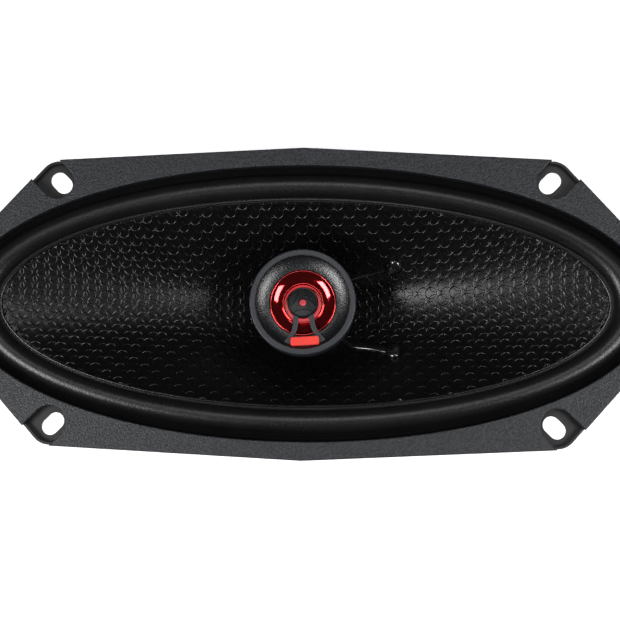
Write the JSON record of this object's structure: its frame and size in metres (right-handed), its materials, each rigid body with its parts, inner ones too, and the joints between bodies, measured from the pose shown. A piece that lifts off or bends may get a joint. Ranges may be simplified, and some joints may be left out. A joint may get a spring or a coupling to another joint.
{
  "type": "coaxial car speaker",
  "caption": "Oval coaxial car speaker with a chamfered slotted flange, embossed cone, rubber roll surround, centre tweeter on a post, stamped basket and booted magnet.",
  "frame": {"origin": "centre of the mounting plane, on the flange's rear seating face", "axes": "+Z towards the listener, square to the panel; +X along the oval's long axis; +Y along its short axis"},
  "size_m": [0.254, 0.106, 0.0805],
  "materials": {
    "black_steel": "black powder coat",
    "textured_plastic": "fine spark-eroded grain",
    "butyl_rubber": "satin",
    "cone_plastic": "satin gloss with an embossed circle pattern",
    "former_aluminium": "satin foil",
    "copper_wire": "enamelled copper",
    "spider_cloth": "resin-stiffened cotton",
    "plated_steel": "bright zinc plate",
    "ferrite": "ground ferrite",
    "boot_rubber": "soft matt",
    "post_plastic": "moulded, fine grain",
    "bezel_plastic": "satin dish, matt rim",
    "red_chrome": "red tinted chrome",
    "plug_plastic": "satin",
    "badge_plastic": "plain red, no mark",
    "neodymium": "nickel plate",
    "dome_film": "translucent red polyimide film",
    "phenolic_board": "pressed phenolic",
    "tinned_brass": "tinned",
    "tinsel_braid": "tinsel braid",
    "black_glue": "glossy adhesive",
    "capacitor_sleeve": "shrunk sleeve",
    "tinned_wire": "tinned copper wire",
    "wire_insulation": "PVC insulation"
  },
  "bodies": {
    "root": {"back_plate": "plated_steel", "badge_plate": "badge_plastic", "basket": "black_steel", "capacitor_glue": "black_glue", "capacitor_lead": "tinned_wire", "core_to_capacitor": "wire_insulation", "core_to_terminal": "wire_insulation", "crossover_capacitor": "capacitor_sleeve", "frame_rivets": "plated_steel", "lead_sleeve": "wire_insulation", "magnet": "ferrite", "magnet_boot": "boot_rubber", "phase_plug": "plug_plastic", "post_nut": "plated_steel", "surround": "butyl_rubber", "terminal_board": "phenolic_board", "terminal_negative": "tinned_brass", "terminal_positive": "tinned_brass", "terminal_rivets": "tinned_brass", "top_plate": "plated_steel", "trim_ring": "textured_plastic", "tweeter_bezel": "bezel_plastic", "tweeter_dome_frame": "red_chrome", "tweeter_flare": "red_chrome", "tweeter_housing": "post_plastic", "tweeter_lead": "wire_insulation", "tweeter_magnet": "neodymium", "tweeter_pole_plate": "plated_steel", "tweeter_post": "post_plastic", "tweeter_yoke": "plated_steel"},
    "cone_assembly": {"cone": "cone_plastic", "voice_coil_former": "former_aluminium", "voice_coil_winding": "copper_wire", "spider": "spider_cloth", "eyelet_upper": "black_glue", "eyelet_lower": "black_glue", "coil_lead_upper": "black_glue", "coil_lead_lower": "black_glue", "tinsel_lead_upper": "tinsel_braid", "tinsel_lead_lower": "tinsel_braid"},
    "tweeter_diaphragm": {"tweeter_dome": "dome_film", "tweeter_coil": "copper_wire"}
  },
  "joints": [
    {"name": "cone_travel", "type": "slide", "parent": "root", "child": "cone_assembly", "axis": [0, 0, 1], "range_m": [-0.003, 0.003], "stiffness_N_per_m": 3000, "deforming": ["surround", "spider", "tinsel_lead_upper", "tinsel_lead_lower"]},
    {"name": "tweeter_travel", "type": "slide", "parent": "root", "child": "tweeter_diaphragm", "axis": [0, 0, 1], "range_m": [-0.0002, 0.0002], "stiffness_N_per_m": 1500}
  ]
}
